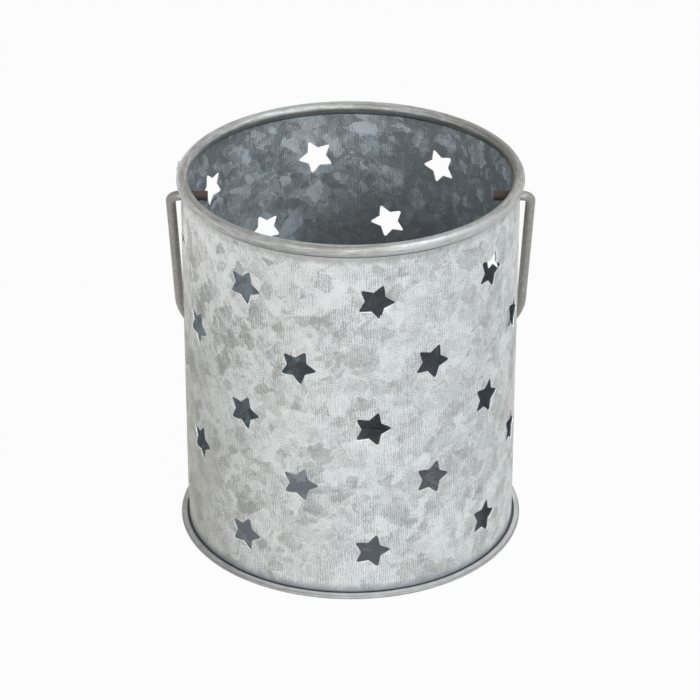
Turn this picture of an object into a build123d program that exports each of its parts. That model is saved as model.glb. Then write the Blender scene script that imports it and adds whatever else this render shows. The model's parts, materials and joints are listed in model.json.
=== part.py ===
from build123d import *
import math
import os

# A punched tin candle lantern: a rolled can of galvanised sheet, a seamed base and a wire bail.
# Millimetres. The origin is the centre of the underside, +Z is up and the front faces -Y.
# Azimuths are degrees round the can from the front, positive towards +X.

# Stock
sheet = 0.4
rim_wire_diameter = 2.4
bail_wire_diameter = 2.64

# Can
shell_radius = 45.0
lantern_height = 104.6

# Wired edge at the top: the wall bends in under the wire, then curls out over it
rim_wire_clearance = 0.03
rim_wire_end_gap = 0.5
rim_bend_radius = 1.0
curl_lip_angle = 55.0

# Flat seam at the foot: the wall's flange, clasped by the folded edge of the base
flange_bend_radius = 0.5
hem_wall_gap = 0.6
hem_width = 1.6

# Lap seam down the wall, from the inner edge of the sheet to its outer edge
lap_azimuth = -101.4
lap_width = 6.6
lap_ramp = 4.0
rim_lap_length = 2.6

# Punched stars, set out along the sheet from its inner edge
star_points = 5
star_point_radius = 5.4
star_notch_radius = 2.85
star_tip_round = 0.5
star_columns = 8
first_column = 13.3
offset_row_shift = 16.3
top_row_drop = 16.3
bottom_row_rise = 13.7
inner_row_step = 17.5

# How each row was punched by hand, bottom to top: its stray along the sheet and the turn of the punch
row_strays = (-0.4, 0.2, -0.3, -0.2, 0.5)
row_turns = (2.0, 0.5, -0.8, -7.5, -6.0)

# Bail, hanging against the back of the can
pivot_below_rim = 3.51
pivot_clearance = 0.25
bail_rim_clearance = 0.4
bail_rest_gap = 0.3
bail_overreach = 41.4
bail_bend_radius = 2.4
crossbar_length = 31.4
stub_inside = 6.6

# Worked out from the sizes above
full_turn = 360.0
wall_middle = shell_radius - sheet / 2
wall_inner = shell_radius - sheet
degrees_per_mm = full_turn / (2 * math.pi * shell_radius)

curl_radius = rim_wire_diameter / 2 + rim_wire_clearance + sheet / 2
curl_outer = curl_radius + sheet / 2
curl_height = lantern_height - curl_outer
rim_radius = wall_inner + curl_outer
bend_centre_radius = wall_middle - rim_bend_radius
bend_to_curl = rim_bend_radius + curl_radius
bend_rise = math.sqrt(bend_to_curl**2 - (wall_inner - bend_centre_radius) ** 2)
bend_height = curl_height - bend_rise
bend_turn = math.degrees(math.acos((wall_inner - bend_centre_radius) / bend_to_curl))
curl_sweep = 180 + bend_turn + curl_lip_angle

hem_inner = shell_radius + hem_wall_gap
base_radius = hem_inner + hem_width
fold_radius = base_radius - 1.5 * sheet
hem_top = 3 * sheet

sheet_length = full_turn / degrees_per_mm + lap_width
column_pitch = sheet_length / star_columns
top_row = lantern_height - top_row_drop
middle_row = (bottom_row_rise + top_row) / 2

pivot_height = bend_height - pivot_below_rim
bail_wire_radius = bail_wire_diameter / 2
leg_offset = rim_radius + bail_rim_clearance + bail_wire_radius
stub_end = wall_inner - stub_inside
bail_reach = shell_radius + bail_overreach
bail_corner = leg_offset - crossbar_length / 2
bail_tilt = math.degrees(math.asin((shell_radius + bail_rest_gap + bail_wire_radius) / bail_reach))


def around(azimuth, radius):
    """Point of the plan at an azimuth and a radius."""
    angle = math.radians(azimuth)
    return (radius * math.sin(angle), -radius * math.cos(angle))


def wall_plane(azimuth, radius, height):
    """Plane that faces outwards from the can, with its x axis to the right as seen from outside."""
    angle = math.radians(azimuth)
    origin = (*around(azimuth, radius), height)
    return Plane(origin, x_dir=(math.cos(angle), math.sin(angle), 0), z_dir=(*around(azimuth, 1), 0))


def plan_arc(radius, start, end):
    """Arc of the plan about the can's axis, from one azimuth to another."""
    middle = (start + end) / 2
    return ThreePointArc(around(start, radius), around(middle, radius), around(end, radius))


def wall_profile():
    """Section of the rolled sheet: flange, wall, and the curl that wraps the rim wire."""
    flange_height = 1.5 * sheet
    bend_start = wall_middle + flange_bend_radius
    wall_start = flange_height + flange_bend_radius
    path = [
        Line((fold_radius, flange_height), (bend_start, flange_height)),
        CenterArc((bend_start, wall_start), flange_bend_radius, -90, -90),
        Line((wall_middle, wall_start), (wall_middle, bend_height)),
        CenterArc((bend_centre_radius, bend_height), rim_bend_radius, 0, bend_turn),
        CenterArc((wall_inner, curl_height), curl_radius, 180 + bend_turn, -curl_sweep),
    ]
    return Plane.XZ * trace(path, line_width=sheet)


def lap_strip():
    """Outer layer of the lap, with the ramp by which it climbs over the inner layer."""
    ramp_start = lap_azimuth - lap_ramp * degrees_per_mm
    lap_end = lap_azimuth + lap_width * degrees_per_mm
    outline = [
        Line(around(ramp_start, wall_middle), around(ramp_start, shell_radius)),
        Line(around(ramp_start, shell_radius), around(lap_azimuth, shell_radius + sheet)),
        plan_arc(shell_radius + sheet, lap_azimuth, lap_end),
        Line(around(lap_end, shell_radius + sheet), around(lap_end, wall_middle)),
        plan_arc(wall_middle, lap_end, ramp_start),
    ]
    return Pos(Z=hem_top) * extrude(make_face(outline), amount=bend_height - hem_top, dir=(0, 0, 1))


def lap_recess():
    """Space left inside, where the sheet climbs away from its own inner edge."""
    ramp_start = lap_azimuth - lap_ramp * degrees_per_mm
    clear_radius = wall_inner - sheet
    outline = [
        Line(around(ramp_start, clear_radius), around(ramp_start, wall_inner)),
        Line(around(ramp_start, wall_inner), around(lap_azimuth, shell_radius)),
        Line(around(lap_azimuth, shell_radius), around(lap_azimuth, clear_radius)),
        plan_arc(clear_radius, lap_azimuth, ramp_start),
    ]
    return Pos(Z=hem_top) * extrude(make_face(outline), amount=bend_height - hem_top, dir=(0, 0, 1))


def rim_lap():
    """Corner of the lap's outer layer, turned up against the outside of the curl."""
    tuck = CenterArc((wall_inner, curl_height), curl_outer + sheet / 2, 0, -curl_lip_angle)
    section = Plane.XZ * trace(tuck, line_width=2 * sheet)
    return Rot(Z=lap_azimuth - 90) * revolve(section, Axis.Z, rim_lap_length * degrees_per_mm)


def star_punch(turn):
    """Outline of the star punch, with its tips rounded."""
    points = []
    for step in range(2 * star_points):
        angle = math.radians(turn + step * 180 / star_points)
        radius = star_notch_radius if step % 2 else star_point_radius
        points.append((radius * math.cos(angle), radius * math.sin(angle)))
    star = Polygon(*points, align=None)
    between = (star_notch_radius + star_point_radius) / 2
    tips = [vertex for vertex in star.vertices() if Vector(vertex).length > between]
    return fillet(tips, star_tip_round)


def star_cuts():
    """Every star of the wall: full rows of columns, and offset rows that skip the lap."""
    rows = [
        (bottom_row_rise, 0, star_columns),
        (middle_row - inner_row_step, offset_row_shift, star_columns - 1),
        (middle_row, 0, star_columns),
        (middle_row + inner_row_step, offset_row_shift, star_columns - 1),
        (top_row, 0, star_columns),
    ]
    cuts = []
    for (height, shift, columns), stray, turn in zip(rows, row_strays, row_turns):
        punch = star_punch(turn)
        for column in range(columns):
            along_sheet = first_column + shift + stray + column * column_pitch
            plane = wall_plane(lap_azimuth + along_sheet * degrees_per_mm, shell_radius / 2, height)
            cuts.append(extrude(plane * punch, amount=shell_radius))
    return cuts


def make_shell():
    """Rolled can with its lap seam, stars and pivot holes."""
    can = revolve(wall_profile(), Axis.Z) + lap_strip() - lap_recess() + rim_lap()
    pivot_hole = Cylinder(bail_wire_radius + pivot_clearance, 2 * base_radius, rotation=(0, 90, 0))
    return can - Pos(Z=pivot_height) * pivot_hole - star_cuts()


def make_rim_wire():
    """Ring of wire inside the curl, with its two cut ends facing each other across from the lap."""
    section = Plane.XZ * Pos(wall_inner, curl_height) * Circle(rim_wire_diameter / 2)
    gap_angle = math.degrees(rim_wire_end_gap / wall_inner)
    return Rot(Z=lap_azimuth + 90) * revolve(section, Axis.Z, full_turn - gap_angle)


def make_base_pan():
    """Flat disc whose edge is folded up and over the flange of the wall."""
    floor_height = sheet / 2
    hem_height = hem_top - sheet / 2
    path = [
        Line((0, floor_height), (fold_radius, floor_height)),
        CenterArc((fold_radius, 1.5 * sheet), sheet, -90, 180),
        Line((fold_radius, hem_height), (hem_inner, hem_height)),
    ]
    return revolve(Plane.XZ * trace(path, line_width=sheet), Axis.Z)


def make_bail_handle():
    """Bent wire from one stub to the other, hanging from the pivot holes at the back."""
    corners = [
        (-stub_end, 0),
        (-leg_offset, 0),
        (-leg_offset, bail_reach),
        (leg_offset, bail_reach),
        (leg_offset, 0),
        (stub_end, 0),
    ]
    radii = [bail_bend_radius, bail_corner, bail_corner, bail_bend_radius]
    path = FilletPolyline(*corners, radius=radii)
    section = Plane(path @ 0, z_dir=path % 0) * Circle(bail_wire_radius)
    wire = sweep(section, path=path)
    return Pos(Z=pivot_height) * Rot(X=bail_tilt - 90) * wire


parts = {
    "shell": make_shell(),
    "rim_wire": make_rim_wire(),
    "base_pan": make_base_pan(),
    "bail_handle": make_bail_handle(),
}

os.makedirs("parts", exist_ok=True)
for name, shape in parts.items():
    export_step(shape, f"parts/{name}.step")

print("pivot height", round(pivot_height, 3), "bail tilt", round(bail_tilt, 3))
print("bail range", round(2 * (180 - bail_tilt), 2), "reach", round(bail_reach, 2))
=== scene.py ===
import json
import math

import bmesh
import bpy
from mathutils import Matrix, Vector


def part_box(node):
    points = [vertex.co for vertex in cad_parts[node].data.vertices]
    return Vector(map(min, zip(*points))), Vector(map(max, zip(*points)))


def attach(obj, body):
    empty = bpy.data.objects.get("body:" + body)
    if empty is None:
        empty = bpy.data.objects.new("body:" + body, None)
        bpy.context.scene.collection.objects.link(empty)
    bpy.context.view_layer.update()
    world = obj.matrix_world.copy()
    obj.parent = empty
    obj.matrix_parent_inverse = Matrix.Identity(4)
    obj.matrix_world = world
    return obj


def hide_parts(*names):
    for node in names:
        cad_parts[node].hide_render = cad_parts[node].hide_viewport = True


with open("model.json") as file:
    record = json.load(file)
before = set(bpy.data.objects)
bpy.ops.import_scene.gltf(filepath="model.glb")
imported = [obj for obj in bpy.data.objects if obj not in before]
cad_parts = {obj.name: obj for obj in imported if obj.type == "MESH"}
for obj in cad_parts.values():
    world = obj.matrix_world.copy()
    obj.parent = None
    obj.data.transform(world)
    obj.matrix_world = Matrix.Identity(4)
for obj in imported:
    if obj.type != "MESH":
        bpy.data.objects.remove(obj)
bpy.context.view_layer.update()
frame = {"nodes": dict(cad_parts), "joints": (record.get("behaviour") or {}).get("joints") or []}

# Sizes in metres, from the frame and from the stock that the lantern is made of
mm = 0.001
sheet = 0.4 * mm
hem_width = 1.6 * mm
hem_wall_gap = 0.6 * mm
base_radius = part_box("base_pan")[1].x
hem_inner = base_radius - hem_width
shell_radius = hem_inner - hem_wall_gap
fold_radius = base_radius - 1.5 * sheet

# Wired edge: the wall bends in under the rim wire, then curls out over it
rim_low, rim_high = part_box("rim_wire")
rim_wire_clearance = 0.03 * mm
curl_inner = (rim_high.z - rim_low.z) / 2 + rim_wire_clearance
curl_radius = curl_inner + sheet / 2
curl_height = (rim_high.z + rim_low.z) / 2
curl_depth = sheet
lantern_height = curl_height + curl_radius + sheet / 2
curl_lip_angle = math.radians(55)
rim_bend_radius = 1.0 * mm
bend_centre_depth = sheet / 2 + rim_bend_radius
bend_turn = math.acos((bend_centre_depth - curl_depth) / (rim_bend_radius + curl_radius))
bend_height = curl_height - (rim_bend_radius + curl_radius) * math.sin(bend_turn)

# Flange at the foot of the wall
flange_bend_radius = 0.5 * mm
flange_height = 1.5 * sheet
wall_start = flange_height + flange_bend_radius

# Lap seam, set out along the flat sheet, whose x is the way round the can from the front
lap_azimuth = math.radians(-101.4)
lap_width = 6.6 * mm
lap_ramp = 4.0 * mm
lap_spare = 0.02 * mm
rim_lap_proud = 0.85 * mm
sheet_start = lap_azimuth * shell_radius
sheet_length = 2 * math.pi * shell_radius + lap_width
sheet_end = sheet_start + sheet_length

# Punched stars
star_point_radius = 5.4 * mm
star_notch_radius = 2.85 * mm
star_tip_trim = 0.92 * mm
star_columns = 8
first_column = 13.3 * mm
offset_row_shift = 16.3 * mm
top_row = lantern_height - 16.3 * mm
bottom_row = 13.7 * mm
middle_row = (top_row + bottom_row) / 2
inner_row_step = 17.5 * mm
row_strays = (-0.4 * mm, 0.2 * mm, -0.3 * mm, -0.2 * mm, 0.5 * mm)
row_turns = (2.0, 0.5, -0.8, -7.5, -6.0)
star_first_tip = 18
punch_length = 20 * sheet
punch_roll = 0.14 * mm
punch_margin = 0.5 * mm

# Bail
pivot = frame["joints"][0]["pos_m"]
bail_wire_radius = 1.32 * mm
pivot_clearance = 0.25 * mm
leg_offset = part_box("bail_handle")[1].x - bail_wire_radius
bail_bend_radius = 2.4 * mm
crossbar_length = 31.4 * mm
bail_reach = shell_radius + 41.4 * mm
bail_corner = leg_offset - crossbar_length / 2
bail_rest_gap = 0.3 * mm
stub_end = shell_radius - sheet - 6.6 * mm
bail_tilt = math.asin((shell_radius + bail_rest_gap + bail_wire_radius) / bail_reach)

# How finely the meshes are cut
sheet_columns = 216
sheet_rows = 24
star_tip_segments = 4
punch_roll_segments = 2
bend_steps = 6
curl_steps = 30
lap_steps = 4
base_steps = 216
fold_outer_steps = 16
fold_inner_steps = 8
wire_sides = 40
bail_bend_steps = 10
bail_corner_steps = 40
punch_merge = 0.03 * mm
last_merge = 0.002 * mm
sharp_angle = math.radians(32)

# What tells the parts of a mesh apart: faces that look up or down, a star's edges and its rolled faces
facing = 0.9
star_edge_angle = math.radians(45)
rolled_least = 0.15
rolled_most = 0.98


def deselect_all():
    """Leaves nothing selected, the frame's own nodes included."""
    bpy.ops.object.select_all(action="DESELECT")


def make_active(piece):
    """Selects one object alone and makes it the active one."""
    deselect_all()
    piece.select_set(True)
    bpy.context.view_layer.objects.active = piece


def open_mesh(piece):
    """Opens a piece in edit mode with nothing in it selected."""
    make_active(piece)
    bpy.ops.object.mode_set(mode="EDIT")
    bpy.ops.mesh.select_all(action="DESELECT")


def close_mesh():
    """Leaves edit mode."""
    bpy.ops.object.mode_set(mode="OBJECT")


def pick(kind, test, *limits):
    """Selects the vertices, edges or faces of the open mesh that pass a test, within any limits it takes."""
    bpy.ops.mesh.select_mode(type=kind)
    bpy.ops.mesh.select_all(action="DESELECT")
    data = bpy.context.edit_object.data
    mesh = bmesh.from_edit_mesh(data)
    items = {"VERT": mesh.verts, "EDGE": mesh.edges, "FACE": mesh.faces}[kind]
    for item in items:
        if test(item, *limits):
            item.select_set(True)
    mesh.select_flush_mode()
    bmesh.update_edit_mesh(data)


def extrude(move):
    """Extrudes what is selected by a vector."""
    bpy.ops.mesh.extrude_region_move(TRANSFORM_OT_translate={"value": move})


def sweep_turn(centre, axis, angle, steps):
    """Extrudes what is selected round an axis by a right-handed angle. Blender counts it the other way."""
    bpy.ops.mesh.spin(steps=steps, angle=-angle, center=centre, axis=axis)


def apply_modifier(piece, kind, **settings):
    """Adds a modifier to a piece and applies it."""
    modifier = piece.modifiers.new(kind.lower(), kind)
    for name, value in settings.items():
        setattr(modifier, name, value)
    make_active(piece)
    bpy.ops.object.modifier_apply(modifier=modifier.name)


def settle(piece):
    """Moves a piece's place, turn and size into its mesh."""
    make_active(piece)
    bpy.ops.object.transform_apply(location=True, rotation=True, scale=True)


def finish_mesh(piece):
    """Merges doubles, points the faces outwards and smooths all but the sharp edges."""
    open_mesh(piece)
    bpy.ops.mesh.select_all(action="SELECT")
    bpy.ops.mesh.remove_doubles(threshold=last_merge)
    bpy.ops.mesh.normals_make_consistent(inside=False)
    close_mesh()
    bpy.ops.object.shade_smooth_by_angle(angle=sharp_angle)


def star_punch():
    """One star-shaped punch that stands across the flat sheet, with a tip to the right."""
    deselect_all()
    bpy.ops.mesh.primitive_circle_add(vertices=10, radius=star_point_radius, fill_type="NGON")
    punch = bpy.context.object
    open_mesh(punch)
    pick("VERT", lambda vertex: vertex.index % 2)
    shrink = star_notch_radius / star_point_radius
    bpy.ops.transform.resize(value=(shrink, shrink, 1), center_override=(0, 0, 0))
    pick("VERT", lambda vertex: vertex.index % 2 == 0)
    bpy.ops.mesh.bevel(offset=star_tip_trim, segments=star_tip_segments, affect="VERTICES")
    bpy.ops.mesh.select_all(action="SELECT")
    bpy.ops.transform.translate(value=(0, 0, -punch_length / 2))
    extrude((0, 0, punch_length))
    bpy.ops.mesh.select_all(action="SELECT")
    bpy.ops.mesh.normals_make_consistent(inside=False)
    close_mesh()
    return punch


def pivot_drill():
    """Round drill for the pivot holes, across the flat sheet."""
    deselect_all()
    radius = bail_wire_radius + pivot_clearance
    bpy.ops.mesh.primitive_cylinder_add(vertices=wire_sides, radius=radius, depth=punch_length)
    return bpy.context.object


def star_places():
    """Place along the sheet, height and turn of every star."""
    rows = [
        (bottom_row, 0, star_columns),
        (middle_row - inner_row_step, offset_row_shift, star_columns - 1),
        (middle_row, 0, star_columns),
        (middle_row + inner_row_step, offset_row_shift, star_columns - 1),
        (top_row, 0, star_columns),
    ]
    column_pitch = sheet_length / star_columns
    for (height, shift, columns), stray, turn in zip(rows, row_strays, row_turns):
        for column in range(columns):
            along = sheet_start + first_column + shift + stray + column * column_pitch
            yield along, height, turn


def punching_tool():
    """Every star and pivot hole as one cutting tool, in place over the flat sheet."""
    punch = star_punch()
    drill = pivot_drill()
    tools = []
    for along, height, turn in star_places():
        tools.append((punch, along, height, math.radians(turn - star_first_tip)))
    for side in (-1, 1):
        tools.append((drill, side * shell_radius * math.pi / 2, pivot[2], 0))
    copies = []
    for source, along, height, turn in tools:
        copy = bpy.data.objects.new("punch_copy", source.data.copy())
        bpy.context.scene.collection.objects.link(copy)
        copy.rotation_euler = (math.pi / 2, -turn, 0)
        copy.location = (along, 0, height)
        copies.append(copy)
    for source in (punch, drill):
        bpy.data.objects.remove(source)
    deselect_all()
    for copy in copies:
        copy.select_set(True)
    bpy.context.view_layer.objects.active = copies[0]
    bpy.ops.object.join()
    tool = bpy.context.object
    settle(tool)
    return tool


def flat_sheet():
    """Punched flat sheet of the wall, standing on edge with its outside towards -Y."""
    deselect_all()
    wall_height = bend_height - wall_start
    bpy.ops.mesh.primitive_grid_add(x_subdivisions=sheet_columns, y_subdivisions=sheet_rows, size=1)
    piece = bpy.context.object
    piece.name = "lantern_shell"
    piece.scale = (sheet_length, wall_height, 1)
    piece.rotation_euler = (math.pi / 2, 0, 0)
    piece.location = ((sheet_start + sheet_end) / 2, 0, wall_start + wall_height / 2)
    settle(piece)

    # One slot for the sheet and one for its cut edges, filled later
    for _ in range(2):
        piece.data.materials.append(None)
    apply_modifier(piece, "SOLIDIFY", thickness=sheet, offset=-1)
    tool = punching_tool()
    apply_modifier(piece, "BOOLEAN", operation="DIFFERENCE", solver="EXACT", object=tool)
    bpy.data.objects.remove(tool)
    return piece


def within_sheet(place):
    """True for a place that lies on the flat sheet, clear of its edges."""
    inside_height = wall_start + punch_margin < place.z < bend_height - punch_margin
    inside_length = sheet_start + punch_margin < place.x < sheet_end - punch_margin
    return inside_height and inside_length


def roll_punched_edges(piece):
    """Rolls the outer edge of every star over a little, as the punch drags it in."""

    def on_star(edge):
        if len(edge.link_faces) != 2:
            return False
        for vertex in edge.verts:
            if abs(vertex.co.y) > sheet / 10 or not within_sheet(vertex.co):
                return False
        return edge.calc_face_angle() > star_edge_angle

    open_mesh(piece)
    bpy.ops.mesh.select_all(action="SELECT")
    bpy.ops.mesh.remove_doubles(threshold=punch_merge)
    pick("EDGE", on_star)
    bpy.ops.mesh.bevel(offset=punch_roll, segments=punch_roll_segments, affect="EDGES", clamp_overlap=False)
    close_mesh()

    # The rolled faces lean between the sheet's face and the wall of the hole
    for face in piece.data.polygons:
        if rolled_least < abs(face.normal.y) < rolled_most and within_sheet(face.center):
            face.material_index = 1


def curl_rim(piece):
    """Bends the top of the flat sheet in under the rim wire and curls it out over it."""

    def on_top(face):
        return face.normal.z > facing and face.calc_center_median().z > bend_height - sheet / 4

    open_mesh(piece)
    pick("FACE", on_top)
    along = (1, 0, 0)
    curl_turn = math.pi + bend_turn + curl_lip_angle
    sweep_turn((0, bend_centre_depth, bend_height), along, -bend_turn, bend_steps)
    sweep_turn((0, curl_depth, curl_height), along, curl_turn, curl_steps)
    close_mesh()


def turn_flange(piece):
    """Bends the bottom of the flat sheet outwards into the flange that the base clasps."""

    def on_bottom(face):
        return face.normal.z < -facing and face.calc_center_median().z < wall_start + sheet / 4

    open_mesh(piece)
    pick("FACE", on_bottom)
    bend_depth = sheet / 2 - flange_bend_radius
    sweep_turn((0, bend_depth, wall_start), (1, 0, 0), -math.pi / 2, bend_steps)
    flange = fold_radius - (shell_radius - bend_depth)
    extrude((0, -flange, 0))
    close_mesh()


def lift_lap(piece):
    """Lifts the sheet's end over its start on the wall, and turns up the start's corner on the curl."""
    curl_foot = bend_height + sheet
    curl_outer = curl_radius + sheet / 2
    over_end = sheet_start + lap_width + lap_ramp / 2

    def on_lap(vertex, edge):
        return vertex.co.x > edge and flange_height * 2 < vertex.co.z <= bend_height

    def on_curl(vertex, edge):
        return vertex.co.x < edge and vertex.co.z > curl_foot

    def on_corner(vertex, edge):
        outside_low = vertex.co.y < -sheet / 2 and curl_foot < vertex.co.z < curl_height + lap_spare
        return outside_low and vertex.co.x < edge

    open_mesh(piece)
    for step in range(lap_steps):
        edge = sheet_end - lap_width - lap_ramp * (lap_steps - step - 0.5) / lap_steps
        pick("VERT", on_lap, edge)
        bpy.ops.transform.translate(value=(0, -(sheet + lap_spare) / lap_steps, 0))
    pick("VERT", on_curl, over_end)
    size = (curl_outer + lap_spare) / curl_outer
    bpy.ops.transform.resize(value=(1, size, size), center_override=(0, curl_depth, curl_height))
    for step in range(lap_steps):
        edge = sheet_start + lap_width * (lap_steps - step - 0.5) / lap_steps
        pick("VERT", on_corner, edge)
        bpy.ops.transform.translate(value=(0, -rim_lap_proud / lap_steps, 0))
    close_mesh()


def roll_can(piece):
    """Rolls the flat sheet into a can about the vertical axis."""
    low = min(vertex.co.x for vertex in piece.data.vertices)
    high = max(vertex.co.x for vertex in piece.data.vertices)
    turn = (high - low) / shell_radius
    apply_modifier(piece, "SIMPLE_DEFORM", deform_method="BEND", deform_axis="Z", angle=turn)
    open_mesh(piece)
    bpy.ops.mesh.select_all(action="SELECT")
    bpy.ops.transform.translate(value=(0, -shell_radius, 0))
    close_mesh()


def make_shell():
    """Can wall, made as the real one is: punched flat, wired, flanged, lapped and rolled."""
    piece = flat_sheet()
    roll_punched_edges(piece)
    curl_rim(piece)
    turn_flange(piece)
    lift_lap(piece)
    roll_can(piece)
    finish_mesh(piece)
    return piece


def start_outline(name, place):
    """New piece that is one selected vertex, open in edit mode."""
    deselect_all()
    bpy.ops.mesh.primitive_plane_add(size=2 * sheet, location=place)
    piece = bpy.context.object
    piece.name = name
    settle(piece)
    open_mesh(piece)
    bpy.ops.mesh.select_all(action="SELECT")
    bpy.ops.mesh.merge(type="CENTER")
    return piece


def make_base():
    """Base disc with its edge folded up and over the flange, spun from its section."""
    across = (0, 1, 0)
    fold_middle = (fold_radius, 0, 1.5 * sheet)
    piece = start_outline("lantern_base", (0, 0, 0))
    extrude((fold_radius, 0, 0))
    sweep_turn(fold_middle, across, -math.pi, fold_outer_steps)
    extrude((hem_inner - fold_radius, 0, 0))
    extrude((0, 0, -sheet))
    extrude((fold_radius - hem_inner, 0, 0))
    sweep_turn(fold_middle, across, math.pi, fold_inner_steps)
    extrude((-fold_radius, 0, 0))
    bpy.ops.mesh.select_all(action="SELECT")
    bpy.ops.mesh.spin(steps=base_steps, angle=2 * math.pi, center=(0, 0, 0), axis=(0, 0, 1))
    close_mesh()
    finish_mesh(piece)
    return piece


def make_bail():
    """Bail bent from one length of wire, stub to stub, and let down against the back."""
    deselect_all()
    bpy.ops.mesh.primitive_circle_add(
        vertices=wire_sides, radius=bail_wire_radius, fill_type="NGON",
        location=(-stub_end, 0, 0), rotation=(0, math.pi / 2, 0))
    piece = bpy.context.object
    piece.name = "lantern_bail"
    settle(piece)
    open_mesh(piece)
    bpy.ops.mesh.select_all(action="SELECT")
    bend_start = leg_offset - bail_bend_radius
    corner_height = -(bail_reach - bail_corner)
    corner_start = leg_offset - bail_corner
    across = (0, 1, 0)
    quarter = math.pi / 2
    extrude((stub_end - bend_start, 0, 0))
    sweep_turn((-bend_start, 0, -bail_bend_radius), across, -quarter, bail_bend_steps)
    extrude((0, 0, corner_height + bail_bend_radius))
    sweep_turn((-corner_start, 0, corner_height), across, -quarter, bail_corner_steps)
    extrude((2 * corner_start, 0, 0))
    sweep_turn((corner_start, 0, corner_height), across, -quarter, bail_corner_steps)
    extrude((0, 0, -corner_height - bail_bend_radius))
    sweep_turn((bend_start, 0, -bail_bend_radius), across, -quarter, bail_bend_steps)
    extrude((stub_end - bend_start, 0, 0))
    close_mesh()
    piece.rotation_euler.x = bail_tilt
    piece.location = pivot
    settle(piece)
    finish_mesh(piece)
    return piece


shell = make_shell()
base = make_base()
bail = make_bail()

for piece, body, node, slot in (
    (shell, "lantern", "shell", "galvanised_sheet"),
    (base, "lantern", "base_pan", "galvanised_base"),
    (bail, "bail", "bail_handle", "galvanised_wire"),
):
    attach(piece, body)
    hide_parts(node)


class Value:
    """One number that varies over a surface, with arithmetic that adds Math nodes."""

    def __init__(self, finish, socket):
        self.finish = finish
        self.socket = socket

    def calculate(self, operation, first, second):
        """Adds one Math node."""
        return self.finish.node("ShaderNodeMath", {"operation": operation}, {0: first, 1: second})

    def __add__(self, other):
        return self.calculate("ADD", self, other)

    def __radd__(self, other):
        return self.calculate("ADD", other, self)

    def __sub__(self, other):
        return self.calculate("SUBTRACT", self, other)

    def __rsub__(self, other):
        return self.calculate("SUBTRACT", other, self)

    def __mul__(self, other):
        return self.calculate("MULTIPLY", self, other)

    def __neg__(self):
        return self.calculate("MULTIPLY", self, -1)

    def __abs__(self):
        return self.calculate("ABSOLUTE", self, 0)


class Finish:
    """The nodes of one material, or of the world."""

    def __init__(self, owner):
        self.owner = owner
        owner.use_nodes = True
        self.tree = owner.node_tree

    def feed(self, socket, value):
        """Links a value to a socket, or sets it there."""
        if isinstance(value, Value):
            self.tree.links.new(value.socket, socket)
        else:
            socket.default_value = value

    def node(self, kind, settings, inputs, output=0):
        """Adds a node with its settings and sockets, and gives one of its outputs."""
        node = self.tree.nodes.new(kind)
        for name, value in settings.items():
            setattr(node, name, value)
        for name, value in inputs.items():
            self.feed(node.inputs[name], value)
        return Value(self, node.outputs[output])

    def parts(self, kind, vector):
        """Splits a vector or a colour into its three numbers."""
        first = self.node(kind, {}, {0: vector})
        outputs = first.socket.node.outputs
        return first, Value(self, outputs[1]), Value(self, outputs[2])

    def step(self, value, low, high):
        """Goes smoothly from 0 to 1 while a value goes from low to high."""
        sockets = {"Value": value, "From Min": low, "From Max": high}
        return self.node("ShaderNodeMapRange", {"interpolation_type": "SMOOTHSTEP"}, sockets)

    def tint(self, share, first, second, blend="MIX"):
        """Mixes two colours, or multiplies them."""
        settings = {"data_type": "RGBA", "blend_type": blend, "clamp_factor": True}
        return self.node("ShaderNodeMix", settings, {0: share, 6: first, 7: second}, 2)

    def place(self, x, y, z=0):
        """Vector of three numbers."""
        return self.node("ShaderNodeCombineXYZ", {}, {0: x, 1: y, 2: z})

    def cloud(self, vector, scale, detail, output="Fac"):
        """Noise over a vector."""
        sockets = {"Vector": vector, "Scale": scale, "Detail": detail, "Roughness": 0.55}
        return self.node("ShaderNodeTexNoise", {"noise_dimensions": "3D"}, sockets, output)

    def ripple(self, vector, scale, detail):
        """Noise about 0 over a vector."""
        return self.cloud(vector, scale, detail) - 0.5

    def stray(self, vector, scale, detail):
        """Two random numbers about 0 for each place, to push it sideways and up."""
        colour = self.cloud(vector, scale, detail, "Color")
        first, second, _ = self.parts("ShaderNodeSeparateColor", colour)
        return first - 0.5, second - 0.5

    def grains(self, vector, size):
        """Three random numbers for each crystal of the zinc, for crystals of about one size."""
        settings = {"voronoi_dimensions": "3D", "feature": "F1"}
        sockets = {"Vector": vector, "Scale": 1 / size, "Randomness": 1.0}
        colour = self.node("ShaderNodeTexVoronoi", settings, sockets, "Color")
        return self.parts("ShaderNodeSeparateColor", colour)

    def object_place(self, turn=0):
        """Place on the object in millimetres, turned about the vertical axis."""
        coordinates = self.node("ShaderNodeTexCoord", {}, {}, "Object")
        sockets = {"Vector": coordinates, "Rotation": (0, 0, turn), "Scale": (1 / mm, 1 / mm, 1 / mm)}
        return self.node("ShaderNodeMapping", {"vector_type": "POINT"}, sockets)

    def from_axis(self, x, y):
        """Distance from the lantern's vertical axis."""
        return self.node("ShaderNodeMath", {"operation": "SQRT"}, {0: x * x + y * y})

    def turn_round(self, x, y):
        """Angle about the vertical axis, from the front."""
        return self.node("ShaderNodeMath", {"operation": "ARCTAN2"}, {0: x, 1: -y})

    def way_round(self, turn):
        """Way round the can in millimetres from a place that is turned to the front."""
        x, y, _ = self.parts("ShaderNodeSeparateXYZ", self.object_place(turn))
        return self.turn_round(x, y) * wall_mm

    def surface(self, **sockets):
        """Sets the sockets of the material's shader."""
        shader = self.tree.nodes["Principled BSDF"]
        for name, value in sockets.items():
            self.feed(shader.inputs[name.replace("_", " ")], value)

    def bump(self, height, distance, strength):
        """Normal of a surface with a fine relief, its depth in millimetres."""
        sockets = {"Height": height, "Distance": distance * mm, "Strength": strength}
        return self.node("ShaderNodeBump", {}, sockets)


def new_finish(name):
    """The nodes of a new material."""
    return Finish(bpy.data.materials.new(name))


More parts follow.
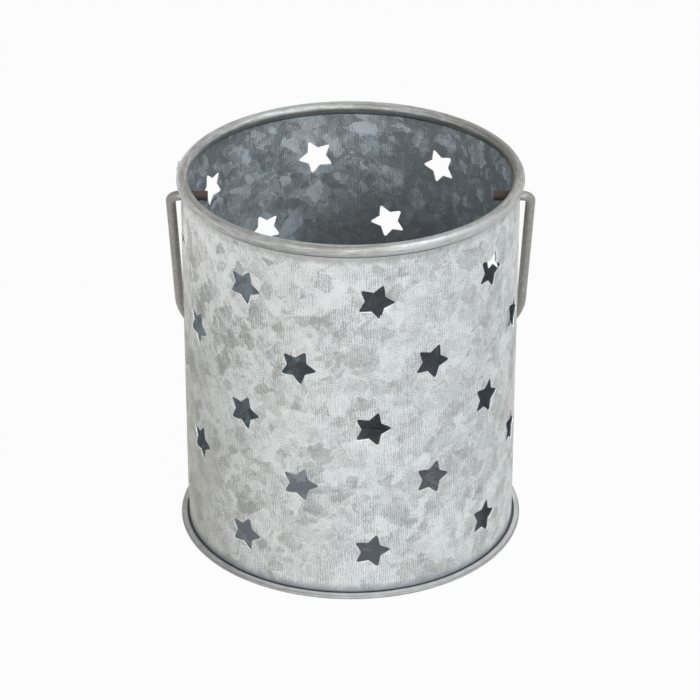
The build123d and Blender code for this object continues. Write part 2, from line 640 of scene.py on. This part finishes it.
# Places on the lantern in millimetres, as the materials count them
wall_mm = shell_radius / mm
bend_mm = bend_height / mm
curl_mm = curl_height / mm
hem_mm = hem_inner / mm
fold_mm = fold_radius / mm
stub_mm = stub_end / mm
pivot_mm = pivot[2] / mm

# Sizes of the zinc's crystals, how far their outlines stray, and the step between the sheet's two faces
large_crystal = 6.5
middle_crystal = 3.2
small_crystal = 1.5
crystal_warp = 4.5
crystal_rag = 0.7
face_shift = 40
floor_large_crystal = 6
floor_small_crystal = 2.6
floor_warp = 7

# Colours of the wall's outside, with a painted sheen, a painted cool light tint, a painted warm reflection
# and painted shades
ground_zinc = (0.86, 0.877, 0.877, 1)
sheen_ground = (0.95, 0.955, 0.95, 1)
cool_crystal = (0.392, 0.41, 0.408, 1)
warm_crystal = (0.41, 0.407, 0.388, 1)
cool_light_tint = (0.972, 1.008, 1.014, 1)
warm_reflection_tint = (1.0, 0.99, 0.93, 1)
left_shade_grey = (0.42, 0.415, 0.365, 1)
under_rim_shade_grey = (0.36, 0.36, 0.345, 1)
foot_shade_blue = (0.30, 0.33, 0.37, 1)
seam_shade_black = (0.035, 0.037, 0.042, 1)
seam_shade_rust = (0.12, 0.075, 0.045, 1)
seam_shade_grey = (0.16, 0.165, 0.175, 1)

# Colours of the wall's inside, with painted shades deep inside and in the groove
inner_ground = (0.32, 0.35, 0.37, 1)
inner_blue = (0.79, 0.874, 0.95, 1)
inner_pale = (0.835, 0.887, 0.92, 1)
deep_shade_grey = (0.14, 0.15, 0.16, 1)
groove_shade_black = (0.07, 0.077, 0.08, 1)

# Colours of the rim, the cut edges, the base and the wire, with painted shades and highlights on the rim and
# painted shades on the base
rim_pale = (0.53, 0.535, 0.54, 1)
rim_dull_and_shade = (0.29, 0.29, 0.27, 1)
rim_shade = (0.1, 0.098, 0.085, 1)
lip_shade = (0.15, 0.15, 0.14, 1)
cut_pale = (0.97, 0.975, 0.98, 1)
cut_grey = (0.72, 0.72, 0.72, 1)
floor_zinc = (0.5, 0.53, 0.56, 1)
floor_pale = (0.84, 0.88, 0.9, 1)
hem_pale = (0.74, 0.745, 0.75, 1)
hem_dull_and_shade = (0.30, 0.30, 0.30, 1)
hem_gap_shade = (0.05, 0.05, 0.052, 1)
wire_pale = (0.44, 0.43, 0.405, 1)
wire_dull = (0.22, 0.215, 0.2, 1)
wire_rubbed = (0.62, 0.62, 0.6, 1)
wire_pitted = (0.11, 0.105, 0.1, 1)
wire_bare = (0.085, 0.055, 0.04, 1)


class SheetPlace:
    """Place of each point of the wall in millimetres, on the can and on the flat sheet."""

    def __init__(self, finish):
        self.x, self.y, self.height = finish.parts("ShaderNodeSeparateXYZ", finish.object_place())
        self.radius = finish.from_axis(self.x, self.y)
        self.outside = finish.step(self.radius, wall_mm - 0.12, wall_mm - 0.05)
        self.rim = finish.step(self.height, bend_mm + 0.9, bend_mm + 1.3)

        # Way round the sheet from its middle, which ends at the sheet's own edge on either face
        inner_along = finish.way_round(-lap_azimuth - math.pi)
        outer_along = finish.way_round(-lap_azimuth - math.pi - lap_width / shell_radius) + lap_width / mm
        self.along = inner_along + (outer_along - inner_along) * self.outside

        # The two faces of the sheet have crystals of their own
        self.depth = self.outside * face_shift
        self.flat = finish.place(self.along, self.height, self.depth)
        self.left = finish.step(self.x, -17, -47)
        self.high_left = self.left * finish.step(self.height, 68, 96)


class SheetZinc:
    """Crystals, rolling lines and specks of the wall's zinc."""

    def __init__(self, finish, at):
        warp_x, warp_y = finish.stray(at.flat, 0.2, 2)
        ragged_x, ragged_y = finish.stray(at.flat, 1.1, 3)
        grain_x = at.along + warp_x * crystal_warp + ragged_x * crystal_rag
        grain_y = at.height + warp_y * crystal_warp + ragged_y * crystal_rag
        grain_place = finish.place(grain_x, grain_y, at.depth)
        large, large_tone, _ = finish.grains(grain_place, large_crystal)
        middle, middle_tone, self.hue = finish.grains(grain_place, middle_crystal)
        small, small_tone, _ = finish.grains(grain_place, small_crystal)

        # Each crystal has a shade of its own, and some stand out from the ground, more of them to the left
        gather = finish.ripple(at.flat, 0.045, 2) * 0.55
        gather = gather + at.left * finish.step(at.height, 92, 62) * 0.14
        gather = gather - at.outside * finish.step(at.height, 80, 96) * 0.08
        large_patch = finish.step(large + gather * 0.9, 0.66, 0.72) * (0.35 + large_tone * 0.65)
        middle_patch = finish.step(middle + gather * 1.1, 0.68, 0.72) * (0.35 + middle_tone * 0.65)
        small_patch = finish.step(small + gather * 0.9, 0.78, 0.82) * (0.3 + small_tone * 0.7)
        self.patches = large_patch * 0.6 + middle_patch * 0.75 + small_patch * 0.55
        self.facets = (large_tone - 0.5) * 0.26 + (middle_tone - 0.5) * 0.34 + (small_tone - 0.5) * 0.28
        self.soft = finish.ripple(at.flat, 0.3, 5)
        self.grit = finish.ripple(at.flat, 3.2, 2)
        self.specks = finish.step(finish.cloud(at.flat, 0.75, 4), 0.66, 0.74)

        # Rolling lines run up the sheet, stronger in some places
        line_zone = finish.step(finish.cloud(at.flat, 0.07, 2), 0.38, 0.62)
        line_look = {"wave_type": "BANDS", "bands_direction": "X"}
        line_sockets = {
            "Vector": finish.place(at.along, at.height * 0.3, at.depth),
            "Scale": 0.52, "Distortion": 7, "Detail": 2, "Detail Scale": 1.3,
        }
        lines = finish.node("ShaderNodeTexWave", line_look, line_sockets, "Fac") - 0.5
        self.marks = (lines * (0.2 + line_zone * 0.4) + self.grit * 2.7) * (1 + at.left * 0.4)


def sheet_outside(finish, at, zinc):
    """Pale ground with grey crystals, specks and scratches, a painted sheen, painted shade on the left and
    under the rim, and painted shade in the seam at the foot.
    """
    slant = finish.place((at.along + at.height * 1.3) * 1.6, (at.along * 1.3 - at.height) * 0.07, at.depth)
    scratches = finish.step(finish.cloud(slant, 1.0, 1), 0.76, 0.8)
    streak_place = finish.place((at.along + at.height * 0.7) * 0.9, at.height * 0.15, at.depth)
    streaks = finish.step(finish.cloud(streak_place, 1.0, 3), 0.4, 0.6) - 0.5
    streaks = streaks * finish.step(at.x, -10, -32) * finish.step(at.height, 30, 75) * 0.42

    # Painted sheen: places painted paler than the rest, high on the left, high at the front and low on the
    # left
    high_front = finish.step(abs(at.x + 11), 19, 8) * finish.step(at.height, 64, 82)
    bright_left = finish.step(abs(at.x + 17), 22, 10) * finish.step(at.height, 28, 46)
    painted_sheen = at.high_left * 0.17 + high_front * 0.08 + bright_left * 0.15

    # Ground and crystals, with a painted cool light tint to the right and a painted warm reflection at the
    # far left
    contrast = 0.31 + finish.step(at.x, 20, -37) * 0.24 + at.high_left * 0.3
    share = zinc.patches * contrast + zinc.facets + zinc.soft * 0.4 + zinc.marks
    share = share + zinc.specks * 0.35 + scratches * 0.36 + streaks - painted_sheen + 0.345 - at.left * 0.08
    # The ground is painted paler high on the left, as part of the painted sheen
    ground = finish.tint(at.high_left, ground_zinc, sheen_ground)
    colour = finish.tint(share, ground, finish.tint(zinc.hue, cool_crystal, warm_crystal))
    cool_light = finish.step(at.x, -18, 8) * finish.step(at.x, 44, 35)
    colour = finish.tint(cool_light, colour, cool_light_tint, "MULTIPLY")
    far_left = finish.step(at.x, -40.5, -44.5)
    colour = finish.tint(far_left, colour, warm_reflection_tint, "MULTIPLY")

    # Painted shade at the lower left, and a painted shadow under the rim
    low = finish.step(at.height + zinc.soft * 30, 85, 20)
    left_shade = finish.step(at.x, -24, -47) * (0.06 + low * 0.94)
    colour = finish.tint(left_shade * 0.62, colour, left_shade_grey)
    # Painted shadow of the rim on the wall below it, stronger at the front
    under_rim = finish.step(at.height + zinc.soft * 3, bend_mm - 2.0, bend_mm - 0.4)
    under_rim = under_rim * (0.3 + finish.step(abs(at.x), 28, 12) * 0.32)
    colour = finish.tint(under_rim, colour, under_rim_shade_grey)

    # Painted bluish shade on the foot over the seam, and painted shade in the seam itself, brown like rust
    # in places
    foot = finish.step(at.height + zinc.soft * 4, 4.0, 1.3)
    colour = finish.tint(foot * 0.75, colour, foot_shade_blue)
    rust = finish.step(finish.cloud(at.flat, 0.12, 3), 0.55, 0.65)
    seam_shade_colour = finish.tint(rust * 0.6, seam_shade_black, seam_shade_rust)
    seam_shade_colour = finish.tint(finish.step(at.height, 1.0, 0.85), seam_shade_colour, seam_shade_grey)
    seam = finish.step(at.height + zinc.grit * 0.5, 1.4, 1.1)
    return finish.tint(seam * 0.95, colour, seam_shade_colour), seam


def sheet_inside(finish, at, zinc):
    """Grey ground with crystals that catch the light from above, painted light on the left back and high up,
    and painted shade to the right, deep down and in the groove under the rim.
    """
    # Painted light falls on the left back and in a pool high up, and painted shade lies by the lap and to
    # the right
    left_back = finish.step(at.along, 84, 104) * finish.step(at.height, 24, 48)
    low_back = left_back * finish.step(at.height, 90, 66)
    painted_light_pool = finish.step(abs(at.along - 84), 20, 6) * finish.step(at.height, 78, 92)
    by_lap = finish.step(at.along, 104, 128) * finish.step(at.height, 80, 94)
    right = finish.step(at.along, 50, 26)
    painted_light = left_back * 0.2 + low_back * 0.36 + painted_light_pool * 0.38 - by_lap * 0.42 - right * 0.28
    plain = finish.step(at.height + zinc.soft * 10, 84, 68) * finish.step(at.along, 98, 78)
    crystals = zinc.patches * (0.62 + left_back * 0.16 - plain * 0.4) + zinc.facets * (1.2 - plain * 0.4)
    share = crystals + zinc.soft * 0.6 + zinc.marks * 0.9 + zinc.specks * 0.2 + painted_light
    colour = finish.tint(share, inner_ground, finish.tint(zinc.hue, inner_blue, inner_pale))
    # Painted shade deeper inside the can, less of it where the painted light falls on the left back
    deep_shade = finish.step(at.height + zinc.soft * 12, 90, 58) * (0.12 + finish.step(at.height, 28, 62) * 0.42)
    colour = finish.tint(deep_shade * (1 - left_back * 0.85), colour, deep_shade_grey)
    # Painted shade in the groove under the rim
    groove_shade = finish.step(abs(at.height - (bend_mm + 0.85)), 0.8, 0.55)
    return finish.tint(groove_shade * 0.8, colour, groove_shade_black)


def sheet_rim(finish, at, zinc):
    """Wired rim, drawn satin, with lines and smudges along it, painted highlights and painted shades."""
    lines = finish.ripple(finish.place(at.along * 0.15, at.radius * 2.6, at.height * 2.6), 1.0, 3)
    smudge = finish.ripple(finish.place(at.along * 0.4, at.radius * 0.7, at.height * 0.7), 1.0, 4)
    diagonal = at.x * at.y

    # Darker at the sides, and painted shade over the lamp's highlight at the front and back
    sideways = finish.step(abs(at.x), 12, 42) * finish.step(at.radius, wall_mm + 1.0, wall_mm + 0.1)
    darker_sides = sideways * (0.2 + finish.step(diagonal, -400, 400) * 0.45)
    outer_shoulder = finish.step(at.radius, wall_mm, wall_mm + 0.4)
    outer_shoulder = outer_shoulder * finish.step(at.height, curl_mm, curl_mm + 0.5)
    inner_shoulder = finish.step(at.radius, wall_mm - 1.0, wall_mm - 1.4)
    inner_shoulder = inner_shoulder * finish.step(at.height, curl_mm - 0.7, curl_mm)
    shoulders = outer_shoulder * finish.step(at.y, 20, -20) + inner_shoulder
    highlight_shade = finish.step(abs(at.x), 18, 6) * shoulders * 0.55
    outer_side = finish.step(at.radius, wall_mm, wall_mm + 0.6)
    lower_side = outer_side * finish.step(at.height, curl_mm + 0.4, curl_mm - 0.4)
    # Darker on the lower outer side at the front left
    darker_low_left = finish.step(abs(at.x + 22), 18, 8) * finish.step(at.y, 0, -20) * lower_side * 0.42

    # Painted highlights at the front right and the back left, and on top of the back
    painted_highlight = finish.step(diagonal, -250, -650) * finish.step(at.x, 43, 34) * outer_side * 0.36
    back_top_highlight = finish.step(at.y, 24, 38) * finish.step(at.x, 20, 2)
    back_top_highlight = back_top_highlight * finish.step(at.radius, wall_mm - 1.4, wall_mm - 0.8)
    share = 0.32 + lines * 2.6 + smudge * 1.3 + zinc.grit * 0.9
    share = share + darker_sides + highlight_shade + darker_low_left - painted_highlight - back_top_highlight * 0.3
    colour = finish.tint(share, rim_pale, rim_dull_and_shade)
    # Painted shade on the inner side of the curl at the right
    inner_side_shade = finish.step(at.radius, wall_mm - 0.2, wall_mm - 1.5) * finish.step(at.x, 24, 44)
    colour = finish.tint(inner_side_shade * 0.7, colour, rim_shade)
    # Painted shade under the lip of the curl
    under_lip = finish.step(at.height, curl_mm - 0.7, curl_mm - 1.5)
    return finish.tint(under_lip * 0.5, colour, lip_shade), lines, smudge


def zinc_sheet():
    """Galvanised wall: crystal patches, rolling lines up the sheet, and a satin wired rim."""
    finish = new_finish("zinc_sheet")
    at = SheetPlace(finish)
    zinc = SheetZinc(finish, at)
    outer, seam = sheet_outside(finish, at, zinc)
    rim_colour, rim_lines, rim_smudge = sheet_rim(finish, at, zinc)
    colour = finish.tint(at.outside, sheet_inside(finish, at, zinc), outer)
    colour = finish.tint(at.rim, colour, rim_colour)
    rough = 0.46 + zinc.patches * 0.1 + zinc.soft * 0.12 + seam * 0.3 * at.outside
    rough = rough - at.rim * 0.06 + rim_smudge * at.rim * 0.25 - at.high_left * at.outside * 0.16
    metal = 0.55 - at.outside * (0.13 - at.high_left * 0.16) + at.rim * 0.3
    relief = (zinc.patches * 0.4 + zinc.marks * 0.7) * (1 - at.rim) + (rim_lines + rim_smudge) * at.rim * 1.6
    finish.surface(Base_Color=colour, Roughness=rough, Metallic=metal)
    finish.surface(Normal=finish.bump(relief, 0.03, 0.4))
    return finish.owner


def cut_edge():
    """Fresh edge of the sheet in the punched stars."""
    finish = new_finish("cut_edge")
    cloud = finish.cloud(finish.object_place(), 1.5, 3)
    colour = finish.tint(cloud, cut_pale, cut_grey)
    finish.surface(Base_Color=colour, Roughness=0.2 + cloud * 0.15, Metallic=0.6)
    return finish.owner


def satin_base():
    """Base: satin zinc with lines round the hem, and crystals on the floor inside."""
    finish = new_finish("satin_base")
    x, y, height = finish.parts("ShaderNodeSeparateXYZ", finish.object_place())
    radius = finish.from_axis(x, y)
    flat = finish.place(x, y, height * 0.2)
    hem = finish.step(radius, wall_mm - 0.6, wall_mm)
    soft = finish.ripple(flat, 0.4, 4)

    # Floor inside, with painted shade towards the wall
    warp_x, warp_y = finish.stray(flat, 0.3, 3)
    grain_place = finish.place(x + warp_x * floor_warp, y + warp_y * floor_warp)
    large, large_tone, _ = finish.grains(grain_place, floor_large_crystal)
    small, small_tone, _ = finish.grains(grain_place, floor_small_crystal)
    bright = finish.step(large, 0.6, 0.64) * large_tone + finish.step(small, 0.7, 0.74) * small_tone * 0.7
    floor_colour = finish.tint(bright * 0.9 + soft * 0.8, floor_zinc, floor_pale)
    floor_edge_shade = finish.step(radius + soft * 6, 29, 43)
    floor_edge_shade = floor_edge_shade * (0.6 + finish.step(radius, wall_mm - 0.6, wall_mm - 1.4) * 0.4)
    floor_colour = finish.tint(floor_edge_shade * 0.7, floor_colour, deep_shade_grey)

    # Hem: pale, with painted shade along the crease where the flat turns into the fold, on the fold's face,
    # on the left, at its raw edge in the gap and underneath
    around = finish.turn_round(x, y)
    lines = finish.ripple(finish.place(around * 6, radius * 2.5, height * 2.5), 1.0, 3)
    crease_shade = finish.step(abs(radius - fold_mm - 0.36), 0.17, 0.1) * finish.step(height, 0.9, 1.0)
    raw_edge_shade = finish.step(radius, hem_mm + 0.12, hem_mm + 0.03) * finish.step(height, 0.6, 0.8)
    under = finish.step(height, 0.5, 0.1)
    fold_shade = finish.step(height, 1.1, 0.9)
    left = finish.step(x, -22, -40)
    hem_share = 0.16 + lines * 1.2 + soft * 0.8 + crease_shade * 0.9 + fold_shade * 0.5 + under * 0.6 + left * 0.35
    hem_colour = finish.tint(hem_share, hem_pale, hem_dull_and_shade)
    hem_colour = finish.tint(raw_edge_shade * 0.9, hem_colour, hem_gap_shade)
    colour = finish.tint(hem, floor_colour, hem_colour)
    finish.surface(Base_Color=colour, Roughness=0.46 + soft * 0.15 + under * hem * 0.2, Metallic=0.45)
    finish.surface(Normal=finish.bump(lines * hem, 0.02, 0.3))
    return finish.owner


def dull_wire():
    """Zinc-coated wire, dull and warm, with bright rubs and rusty cut ends."""
    finish = new_finish("dull_wire")
    place = finish.object_place()
    x, _, height = finish.parts("ShaderNodeSeparateXYZ", place)
    soft = finish.ripple(place, 0.35, 4)
    fine = finish.ripple(place, 1.8, 3)
    rubs = finish.step(finish.cloud(place, 1.0, 3), 0.62, 0.7)
    pits = finish.step(finish.cloud(place, 1.5, 2), 0.36, 0.28)
    colour = finish.tint(0.45 + soft * 0.9 + fine * 1.1, wire_pale, wire_dull)
    colour = finish.tint(rubs * 0.6, colour, wire_rubbed)
    colour = finish.tint(pits * 0.6, colour, wire_pitted)
    end = finish.step(abs(x) + soft * 3, stub_mm + 6.4, stub_mm + 4.0)
    bare = end * finish.step(abs(height - pivot_mm), 2.2, 1.6)
    colour = finish.tint(bare * 0.85, colour, wire_bare)
    rough = 0.5 + fine * 0.2 - rubs * 0.12 + bare * 0.25
    finish.surface(Base_Color=colour, Roughness=rough, Metallic=0.8 - bare * 0.5)
    finish.surface(Normal=finish.bump(fine, 0.08, 0.4))
    return finish.owner


shell.data.materials[0] = zinc_sheet()
shell.data.materials[1] = cut_edge()
base.data.materials.append(satin_base())
wire = dull_wire()
bail.data.materials.append(wire)
frame["nodes"]["rim_wire"].data.materials[0] = wire

# Camera at the photograph's view
camera_elevation = math.radians(28.38)
camera_distance = 19.6 * shell_radius
camera_target = (-0.0036 * shell_radius, 0, 1.122 * shell_radius)
frame_pixels = 700
focal_pixels = 3233.0
camera_data = bpy.data.cameras.new("camera")
camera_data.sensor_width = 36
camera_data.lens = camera_data.sensor_width * focal_pixels / frame_pixels
camera_data.clip_start = 0.01
camera = bpy.data.objects.new("camera", camera_data)
camera.location = (
    camera_target[0],
    camera_target[1] - camera_distance * math.cos(camera_elevation),
    camera_target[2] + camera_distance * math.sin(camera_elevation),
)
camera.rotation_euler = (math.pi / 2 - camera_elevation, 0, 0)
bpy.context.scene.collection.objects.link(camera)
bpy.context.scene.camera = camera
bpy.context.scene.view_settings.view_transform = "Standard"


def seen_directly(finish):
    """1 for rays that show the background: straight from the camera, mirrored or through glass."""
    paths = finish.node("ShaderNodeLightPath", {}, {}, "Is Camera Ray")
    outputs = paths.socket.node.outputs
    total = paths + Value(finish, outputs["Is Glossy Ray"]) + Value(finish, outputs["Is Transmission Ray"])
    return finish.node("ShaderNodeMath", {"operation": "MINIMUM"}, {0: total, 1: 1.0})


# Pale floor, white where the camera sees it in the open, with a faint shadow
floor_size = 8
floor_grey = (0.62, 0.62, 0.62, 1)
white = (1, 1, 1, 1)
floor_white_share = 0.96
deselect_all()
bpy.ops.mesh.primitive_plane_add(size=floor_size, location=(0, 0, 0))
floor = bpy.context.object
floor.name = "floor"
floor_finish = new_finish("floor")
matt = floor_finish.node("ShaderNodeBsdfDiffuse", {}, {"Color": floor_grey})
glowing = floor_finish.node("ShaderNodeEmission", {}, {"Color": white, "Strength": 1.0})
glow_share = seen_directly(floor_finish) * floor_white_share
paper = floor_finish.node("ShaderNodeMixShader", {}, {0: glow_share, 1: matt, 2: glowing})
floor_finish.feed(floor_finish.tree.nodes["Material Output"].inputs["Surface"], paper)
floor.data.materials.append(floor_finish.owner)

# White studio round the lantern with a dim ceiling, dimmer where it only lights it
ceiling_dimming = 0.25
fill_strength = 0.25
studio = Finish(bpy.data.worlds.new("studio"))
backdrop = studio.tree.nodes["Background"]
backdrop.inputs["Color"].default_value = white
sky = studio.node("ShaderNodeTexCoord", {}, {}, "Generated")
sky_height = studio.parts("ShaderNodeSeparateXYZ", sky)[2]
ceiling = studio.step(sky_height, 0.3, 0.8)
directly = seen_directly(studio)
strength = directly * (1 - ceiling * ceiling_dimming) + (1 - directly) * fill_strength
studio.feed(backdrop.inputs["Strength"], strength)
bpy.context.scene.world = studio.owner


def soft_lamp(name, azimuth, elevation, distance, width, power, colour):
    """Square soft lamp that faces the middle of the lantern, its angles in degrees."""
    data = bpy.data.lights.new(name, "AREA")
    data.size = width
    data.energy = power
    data.color = colour
    lamp = bpy.data.objects.new(name, data)
    turn = math.radians(azimuth)
    rise = math.radians(elevation)
    lamp.location = (
        distance * math.cos(rise) * math.sin(turn),
        -distance * math.cos(rise) * math.cos(turn),
        lantern_height / 2 + distance * math.sin(rise),
    )
    lamp.rotation_euler = (math.pi / 2 - rise, 0, turn)
    bpy.context.scene.collection.objects.link(lamp)


soft_lamp(
    "key_lamp", azimuth=6, elevation=27, distance=1.5, width=1.5, power=11.3, colour=(1.0, 1.0, 0.99))
soft_lamp(
    "top_lamp", azimuth=62, elevation=58, distance=1.2, width=0.8, power=4.4, colour=(0.93, 0.985, 1.0))
